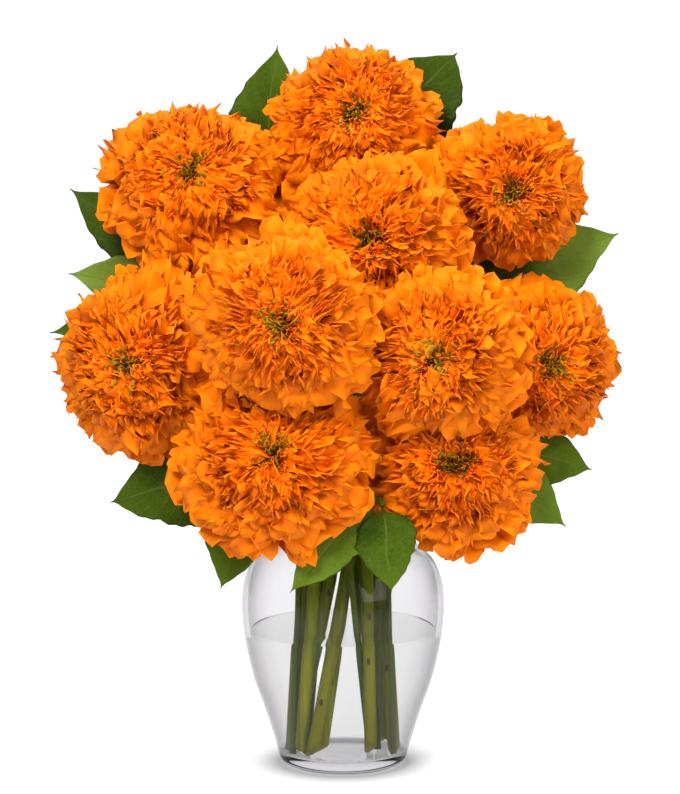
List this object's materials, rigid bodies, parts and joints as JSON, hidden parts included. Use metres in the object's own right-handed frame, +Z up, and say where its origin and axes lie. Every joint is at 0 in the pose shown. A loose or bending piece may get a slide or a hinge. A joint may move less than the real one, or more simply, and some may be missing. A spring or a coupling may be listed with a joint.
{
  "type": "marigold bouquet in a glass vase",
  "caption": "Full orange marigold heads with layered petals on green stems and leafy sprigs, standing in water in a clear round glass vase.",
  "frame": {"origin": "centre of the vase's flat foot, on the surface that it stands on", "axes": "+Z up along the vase's axis; the blooms' faces look along -Y, and +X is to the right seen from there"},
  "size_m": [0.3024, 0.2166, 0.3731],
  "materials": {
    "vase_glass": "gloss",
    "water": "gloss",
    "petal_orange": "matte",
    "eye_olive": "matte",
    "stem_green": "satin",
    "leaf_green": "satin"
  },
  "bodies": {
    "root": {"vase": "vase_glass", "water": "water", "bloom_01": "petal_orange", "bloom_02": "petal_orange", "bloom_03": "petal_orange", "bloom_04": "petal_orange", "bloom_05": "petal_orange", "bloom_06": "petal_orange", "bloom_07": "petal_orange", "bloom_08": "petal_orange", "bloom_09": "petal_orange", "bloom_10": "petal_orange", "eye_01": "eye_olive", "eye_02": "eye_olive", "eye_03": "eye_olive", "eye_04": "eye_olive", "eye_05": "eye_olive", "eye_06": "eye_olive", "eye_07": "eye_olive", "eye_08": "eye_olive", "eye_09": "eye_olive", "eye_10": "eye_olive", "stem_01": "stem_green", "stem_02": "stem_green", "stem_03": "stem_green", "stem_04": "stem_green", "stem_05": "stem_green", "stem_06": "stem_green", "stem_07": "stem_green", "stem_08": "stem_green", "stem_09": "stem_green", "stem_10": "stem_green", "sprig_top_left": "leaf_green", "sprig_top_right": "leaf_green", "sprig_left": "leaf_green", "sprig_right": "leaf_green", "sprig_low_left": "leaf_green", "sprig_low_right": "leaf_green", "sprig_front": "leaf_green", "sprig_back": "leaf_green"}
  },
  "joints": []
}
